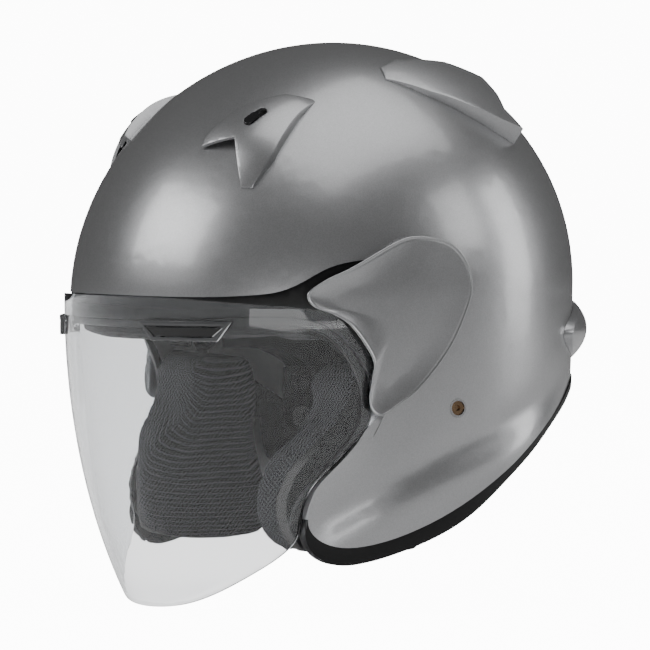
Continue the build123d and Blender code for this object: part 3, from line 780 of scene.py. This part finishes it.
class HELMET_OT_side_covers(bpy.types.Operator):
    """Model the pods over the shield pivots, crowned, with a rolled rim"""
    bl_idname = "helmet.side_covers"
    bl_label = "Side covers"

    EDGE = ((-77.5, 18.5), (-67.8, 25.6), (-54.0, 31.7), (-27.6, 44.9), (-12.6, 47.9), (5.2, 44.6),
            (14.9, 35.0), (18.0, 21.9), (14.7, 8.8), (3.8, -11.9), (-13.9, -31.5), (-26.6, -40.2),
            (-36.0, -45.8), (-41.5, -43.5), (-43.2, -36.4), (-41.9, -25.8), (-42.0, -16.0),
            (-53.6, 0.5), (-63.7, 7.5), (-74.5, 11.8))
    # Each ring: share of the way from the middle to the edge, millimetres in from the edge, the
    # surface that it follows, and its lift over that surface in millimetres.
    ROWS = ([(share, 0.0, "skin", 0.0)
             for share in (0.0, 0.10, 0.20, 0.30, 0.39, 0.47, 0.55, 0.62, 0.68, 0.74)]
            + [(1.0, inset, "skin", 0.0) for inset in (7.6, 6.4, 5.3, 4.3, 3.4, 2.7, 2.1)]
            + [(1.0, 1.6, "skin", -0.12), (1.0, 1.2, "skin", -0.05), (1.0, 0.85, "skin", 0.12),
               (1.0, 0.5, "skin", 0.15), (1.0, 0.2, "skin", 0.0), (1.0, 0.0, "skin", -0.35),
               (1.0, 0.0, "skin", -0.8), (1.0, 0.3, "foot", 0.8), (1.0, 0.5, "foot", 0.05),
               (1.0, 1.8, "foot", 0.05), (1.0, 1.9, "skin", -1.7), (1.0, 6.0, "skin", -1.8),
               (0.6, 0.0, "skin", -1.8), (0.0, 0.0, "skin", -1.8)])
    AROUND = 220
    MIDDLE = (-0.022, 0.008)
    LIP_WIDTH = 0.016
    LIP_RISE = 0.0022
    LIP_FRONT = (-0.030, 0.006)
    SKIN_INSET = 0.0006
    # Where the pod's foot leaves the shell for the shield, and how far it then stays under the skin.
    FOOT_OPENS = (-0.031, -0.024)
    FOOT_THICKNESS = 0.0017
    FOOT_GAP = 0.00005

    def execute(self, context):
        for side in ("left", "right"):
            bm = polar_patch(self.ROWS, self.AROUND, self.place)
            if side == "right":
                mirrored(bm)
            finished("side_cover_" + side, bm, "silver_paint", "helmet", "side_pod_" + side)
        return {"FINISHED"}

    def place(self, t, row):
        """A ring's point, with t from 0 to 1 round the pod."""
        share, inset, surface, lift = row
        edge = curve_point(self.EDGE, t, True) * MM
        middle = Vector(self.MIDDLE)
        out = edge - middle
        flat = middle + out * share - out.normalized() * inset * MM
        y, z = flat
        depth = (1.0 - share) * out.length + inset * MM
        front = 1.0 - smooth_step(*self.LIP_FRONT, edge.x)
        lip = self.LIP_RISE * (0.25 + 0.75 * front) * max(1.0 - depth / self.LIP_WIDTH, 0.0) ** 2
        base = egg_side(POD, y, z) + lip - self.SKIN_INSET
        if surface == "foot":
            shell = egg_side(SHELL, y, z, self.FOOT_GAP)
            open_front = 1.0 - smooth_step(*self.FOOT_OPENS, y)
            base = shell + (max(base - self.FOOT_THICKNESS, shell) - shell) * open_front
        return Vector((base + lift * MM, y, z))


class HELMET_OT_shell_fittings(bpy.types.Operator):
    """Ease the edges of the ducts, the rear diffusers, the exhaust and the shield vents"""
    bl_idname = "helmet.shell_fittings"
    bl_label = "Ducts and vents"

    def execute(self, context):
        for side in ("left", "right"):
            eased("duct_cover_" + side, "brow_duct_" + side, "silver_paint", "helmet", 0.0009)
            eased("diffuser_cover_" + side, "rear_diffuser_" + side, "silver_paint", "helmet", 0.0009)
            eased("vent_surround_" + side, "vent_frame_" + side, "vent_plastic", "shield", 0.0004)
        eased("exhaust_cover", "neck_exhaust", "silver_paint", "helmet", 0.0008)
        return {"FINISHED"}


class HELMET_OT_trims(bpy.types.Operator):
    """Round the rubber trims of the window, the cheeks and the bottom edge"""
    bl_idname = "helmet.trims"
    bl_label = "Rubber trims"

    def execute(self, context):
        for name in ("window_trim", "cheek_trim_left", "cheek_trim_right", "bottom_trim"):
            eased(name + "_bead", name, "trim_rubber", "helmet", 0.0011, 4, 45.0)
        return {"FINISHED"}


class HELMET_OT_shield(bpy.types.Operator):
    """Round the edges of the clear shield"""
    bl_idname = "helmet.shield"
    bl_label = "Face shield"

    def execute(self, context):
        eased("clear_shield", "face_shield", "smoke_shield", "shield", 0.0006, 3, 50.0)
        return {"FINISHED"}


class HELMET_OT_cheek_pads(bpy.types.Operator):
    """Sew the two cheek pads"""
    bl_idname = "helmet.cheek_pads"
    bl_label = "Cheek pads"

    def execute(self, context):
        settings = context.scene.helmet_pads
        for side in ("left", "right"):
            pad = soft_pad("cheek_cushion_" + side, "cheek_pad_" + side, "mesh_fabric", "helmet",
                           settings, self.seam_depth)
            self.mark_band(pad)
        return {"FINISHED"}

    # Where the seam runs down the pad's front: height, and reach out and back along a slanting line.
    SEAM = ((-0.125, -0.012), (-0.118, -0.015), (-0.110, -0.0205), (-0.100, -0.024), (-0.090, -0.024),
            (-0.078, -0.019), (-0.067, -0.0108), (-0.060, -0.0035), (-0.051, 0.0065), (-0.040, 0.013),
            (-0.030, 0.016), (-0.015, 0.022))
    SEAM_SLANT = (0.5, 0.866)
    INNER = (0.064, 0.300, 0.170, 0.330, WIDEST_LEVEL, 0.0)
    INNER_MARGIN = 0.009
    BAND_WIDTH = 0.0055
    BAND_SEAM_TOP = (-0.075, -0.058)
    BAND_TOP = (-0.078, -0.060)

    def past_seam(self, point):
        """How far a point lies outside the seam between the net face and the smooth side."""
        reach = abs(point.x) * self.SEAM_SLANT[0] + point.y * self.SEAM_SLANT[1]
        for (z0, r0), (z1, r1) in zip(self.SEAM, self.SEAM[1:]):
            if point.z <= z1:
                break
        share = min(max((point.z - z0) / (z1 - z0), 0.0), 1.0)
        outward = abs(point.x) - egg_side(self.INNER, point.y, point.z, self.INNER_MARGIN)
        return min(reach - r0 - (r1 - r0) * share, outward)

    def seam_depth(self, point):
        """Two stitched lines: round the net face, and outside the pale band."""
        past = self.past_seam(point)
        low = 1.0 - smooth_step(*self.BAND_SEAM_TOP, point.z)
        return channel(past, 0.0010, 0.0012) + channel(past - self.BAND_WIDTH, 0.0008, 0.0009) * low

    def mark_band(self, pad):
        """Stores the distance past the seam, and where the pale band shows, on the points."""
        past = pad.data.attributes.new("past_seam", "FLOAT", "POINT")
        band = pad.data.attributes.new("pale_band", "FLOAT", "POINT")
        for index, vert in enumerate(pad.data.vertices):
            past.data[index].value = self.past_seam(vert.co)
            band.data[index].value = 1.0 - smooth_step(*self.BAND_TOP, vert.co.z)


class HELMET_OT_linings(bpy.types.Operator):
    """Sew the crown lining, the brow band and the neck roll"""
    bl_idname = "helmet.linings"
    bl_label = "Linings"

    def execute(self, context):
        settings = context.scene.helmet_pads
        soft_pad("crown_cloth", "crown_lining", "lining_fabric", "helmet", settings, self.quilting)
        soft_pad("brow_cloth", "brow_band", "ribbed_fabric", "helmet", settings)
        soft_pad("neck_cushion", "neck_roll", "lining_fabric", "helmet", settings, self.roll_seam)
        return {"FINISHED"}

    LANES = (0.022, 0.058)
    CROSS_LANE = 0.01
    ROLL_SEAM_LEVEL = -0.022

    def quilting(self, point):
        """Channels fore and aft, and one across the crown."""
        fore = min(abs(abs(point.x) - lane) for lane in self.LANES)
        return channel(fore, 0.0025, 0.0016) + channel(point.y - self.CROSS_LANE, 0.0025, 0.0012)

    def roll_seam(self, point):
        """One seam along the middle of the roll."""
        return channel(point.z - self.ROLL_SEAM_LEVEL, 0.002, 0.0014)


class HELMET_OT_straps(bpy.types.Operator):
    """Lay the two webbing straps along their paths"""
    bl_idname = "helmet.straps"
    bl_label = "Chin straps"

    MIDDLE_Y = 0.030
    WIDTH = 0.020
    THICKNESS = 0.0016
    ACROSS = 10

    def execute(self, context):
        short = [(0.10635, -0.050), (0.1031, -0.061), (0.10020, -0.0712)]
        short += self.arc((0.0995, -0.0765), 0.0044, 80.0, -265.0, 28)
        self.lay("strap_short_web", "strap_short", short, 1.0)
        long = [(0.10635, -0.050), (0.1032, -0.060), (0.1005, -0.068)]
        long += self.arc((0.0890, -0.0700), 0.0110, 0.0, -180.0, 24)
        long += [(0.0780, -0.060), (0.0780, -0.045), (0.0780, -0.0285)]
        self.lay("strap_long_web", "strap_long", long, -1.0)
        return {"FINISHED"}

    @staticmethod
    def arc(centre, radius, start, end, steps):
        """Points of an arc in the X-Z plane, by degrees."""
        turns = [math.radians(start + (end - start) * k / steps) for k in range(steps + 1)]
        return [(centre[0] + radius * math.cos(a), centre[1] + radius * math.sin(a)) for a in turns]

    def lay(self, name, node_name, path, side):
        """Webbing along a path of X and Z, on one side of the head."""
        bm = bmesh.new()
        bmesh.ops.create_grid(bm, x_segments=4 * len(path), y_segments=self.ACROSS, size=0.5)
        for vert in bm.verts:
            x, z = curve_point(path, vert.co.x + 0.5, False)
            vert.co = Vector((side * x, self.MIDDLE_Y + self.WIDTH * vert.co.y, z))
        bmesh.ops.remove_doubles(bm, verts=bm.verts, dist=1e-6)
        piece = finished(name, bm, "webbing", "helmet", node_name)
        with_modifier(piece, "SOLIDIFY", thickness=self.THICKNESS, offset=0.0)
        with_modifier(piece, "BEVEL", width=0.0005, segments=2, limit_method="ANGLE")
        apply_modifiers(piece)


class HELMET_OT_stage(bpy.types.Operator):
    """Set the floor, the lights and the camera"""
    bl_idname = "helmet.stage"
    bl_label = "Stage"

    def execute(self, context):
        self.add_floor()
        self.add_world()
        self.add_lights()
        self.add_camera()
        return {"FINISHED"}

    WHITE = (1.0, 1.0, 1.0, 1.0)
    SEEN_GLOW = 12.0
    THROUGH_GLOW = 2.2
    ROOM_GLOW = 0.09
    FLOOR_HALF_SIZE = 30.0
    FLOOR_GAP = 0.0005
    # Camera: degrees round from the front, degrees up, metres away, metres seen across, sensor in mm.
    VIEW_TURN = 60.0
    VIEW_TILT = 2.0
    VIEW_REACH = 3.5
    VIEW_WIDTH = 0.3514
    SENSOR = 36.0
    # How far right of and below the frame's origin the camera aims.
    AIM_RIGHT = 0.00135
    AIM_DOWN = 0.0027

    def add_floor(self):
        """Pale floor just under the helmet."""
        bm = bmesh.new()
        bmesh.ops.create_grid(bm, x_segments=1, y_segments=1, size=self.FLOOR_HALF_SIZE)
        bmesh.ops.translate(bm, verts=bm.verts, vec=(0.0, 0.0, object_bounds()[0][2] - self.FLOOR_GAP))
        mesh = bpy.data.meshes.new("floor")
        bm.to_mesh(mesh)
        bm.free()
        floor = bpy.data.objects.new("floor", mesh)
        bpy.context.scene.collection.objects.link(floor)
        made = Finish("pale_floor", (0.93, 0.93, 0.93, 1.0), Roughness=0.9)
        grain = place_effect(made.tree, "Moulded grain", made.place, Pebbles=300.0, Waves=3.0)
        made.mix_colour(grain.outputs["Tone"], (0.92, 0.92, 0.92, 1.0), (0.94, 0.94, 0.94, 1.0))
        made.shader.inputs["Emission Color"].default_value = self.WHITE
        link(made.tree, self.backdrop_glow(made.tree, 0.0), made.shader.inputs["Emission Strength"])
        floor.data.materials.append(made.material)
        floor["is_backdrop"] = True

    def backdrop_glow(self, tree, ambient):
        """White where seen, or seen through the shield, and dim in everything that it lights."""
        path = node(tree, "ShaderNodeLightPath")
        through = math_node(tree, "MULTIPLY_ADD", path.outputs["Is Transmission Ray"],
                            self.THROUGH_GLOW, ambient)
        return math_node(tree, "MULTIPLY_ADD", path.outputs["Is Camera Ray"], self.SEEN_GLOW, through)

    def add_world(self):
        """Studio white all round."""
        world = bpy.data.worlds.new("studio")
        bpy.context.scene.world = world
        world.use_nodes = True
        tree = world.node_tree
        sky = tree.nodes["Background"]
        link(tree, self.backdrop_glow(tree, self.ROOM_GLOW), sky.inputs["Strength"])
        sky.inputs["Color"].default_value = self.WHITE

    def add_lights(self):
        """Soft boxes round the helmet."""
        soft_boxes = (
            # name, place, aimed at, width, height, watts
            ("key", (-0.5, -2.9, 1.7), (0.0, 0.0, 0.02), 2.4, 1.6, 40.0),
            ("top", (0.6, 0.3, 2.4), (0.0, 0.0, 0.0), 2.8, 2.0, 27.0),
            ("side", (2.0, 2.0, 1.3), (0.0, 0.0, 0.0), 0.9, 1.2, 7.0),
            ("rear", (0.9, 2.6, 0.5), (0.0, 0.0, 0.0), 0.8, 2.0, 15.0),
            ("low", (1.8, -0.9, -0.12), (0.05, 0.0, -0.10), 1.6, 0.25, 5.0),
        )
        for name, place, aim, width, height, watts in soft_boxes:
            lamp = bpy.data.lights.new(name, "AREA")
            lamp.shape = "RECTANGLE"
            lamp.size = width
            lamp.size_y = height
            lamp.energy = watts
            holder = bpy.data.objects.new(name, lamp)
            holder.location = place
            holder.rotation_euler = (Vector(aim) - Vector(place)).to_track_quat("-Z", "Y").to_euler()
            bpy.context.scene.collection.objects.link(holder)

    def add_camera(self):
        """Three-quarter front view from the wearer's left, level with the helmet."""
        turn, tilt = math.radians(self.VIEW_TURN), math.radians(self.VIEW_TILT)
        back = Vector((math.sin(turn) * math.cos(tilt), -math.cos(turn) * math.cos(tilt), math.sin(tilt)))
        right = Vector((math.cos(turn), math.sin(turn), 0.0))
        up = back.cross(right)
        target = right * self.AIM_RIGHT - up * self.AIM_DOWN
        lens = bpy.data.cameras.new("camera")
        lens.sensor_width = self.SENSOR
        lens.lens = self.SENSOR * self.VIEW_REACH / self.VIEW_WIDTH
        holder = bpy.data.objects.new("camera", lens)
        holder.location = target + back * self.VIEW_REACH
        holder.rotation_euler = back.to_track_quat("Z", "Y").to_euler()
        bpy.context.scene.collection.objects.link(holder)
        bpy.context.scene.camera = holder


class HELMET_PT_build(bpy.types.Panel):
    """Lists the steps that build the helmet"""
    bl_label = "Helmet"
    bl_idname = "HELMET_PT_build"
    bl_space_type = "VIEW_3D"
    bl_region_type = "UI"
    bl_category = "Helmet"

    def draw(self, context):
        for key in ("paint", "shield_tint", "cloth", "rubber", "flake"):
            self.layout.prop(context.scene.helmet_finish, key)
        for key in ("voxel", "pressure", "swell", "shrink"):
            self.layout.prop(context.scene.helmet_pads, key)
        for step in STEPS:
            self.layout.operator(step.bl_idname)


STEPS = (HELMET_OT_hard_parts, HELMET_OT_shell, HELMET_OT_side_covers, HELMET_OT_shell_fittings,
         HELMET_OT_trims, HELMET_OT_shield, HELMET_OT_cheek_pads, HELMET_OT_linings,
         HELMET_OT_straps, HELMET_OT_stage)
CLASSES = (HelmetFinish, HelmetPads) + STEPS + (HELMET_PT_build,)


def register():
    for made in CLASSES:
        bpy.utils.register_class(made)
    bpy.types.Scene.helmet_finish = bpy.props.PointerProperty(type=HelmetFinish)
    bpy.types.Scene.helmet_pads = bpy.props.PointerProperty(type=HelmetPads)


def unregister():
    del bpy.types.Scene.helmet_pads
    del bpy.types.Scene.helmet_finish
    for made in reversed(CLASSES):
        bpy.utils.unregister_class(made)


def main():
    register()
    for step in STEPS:
        family, name = step.bl_idname.split(".")
        getattr(getattr(bpy.ops, family), name)()


if __name__ == "__main__":
    main()
